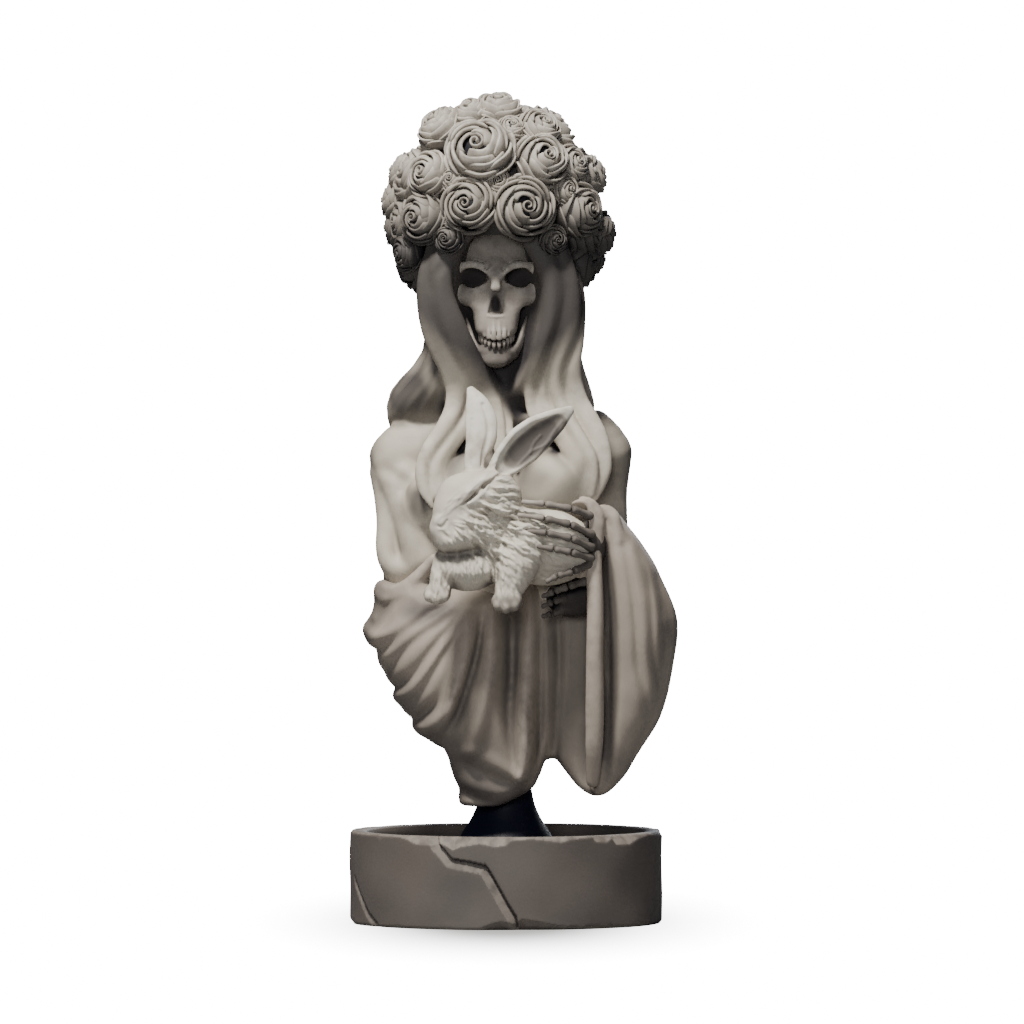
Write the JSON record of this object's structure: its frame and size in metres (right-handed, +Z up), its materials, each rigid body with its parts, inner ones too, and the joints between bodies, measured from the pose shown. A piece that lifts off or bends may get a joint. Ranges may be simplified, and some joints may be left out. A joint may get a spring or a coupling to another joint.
{
  "type": "skull bust",
  "caption": "Bust of a long-haired skull crowned with roses, in a folded shawl, holding a rabbit, on a post in a round tray.",
  "frame": {"origin": "middle of the tray's underside", "axes": "+Z up through the crown, the face looks along -Y, and +X is to the right of someone facing the bust"},
  "size_m": [0.0976, 0.0953, 0.2483],
  "materials": {
    "tray_resin": "matt, rough stone look",
    "post_resin": "satin, near black",
    "bust_resin": "matt, warm grey stone look"
  },
  "bodies": {
    "root": {"base_tray": "tray_resin", "support_post": "post_resin", "bust": "bust_resin"}
  },
  "joints": []
}
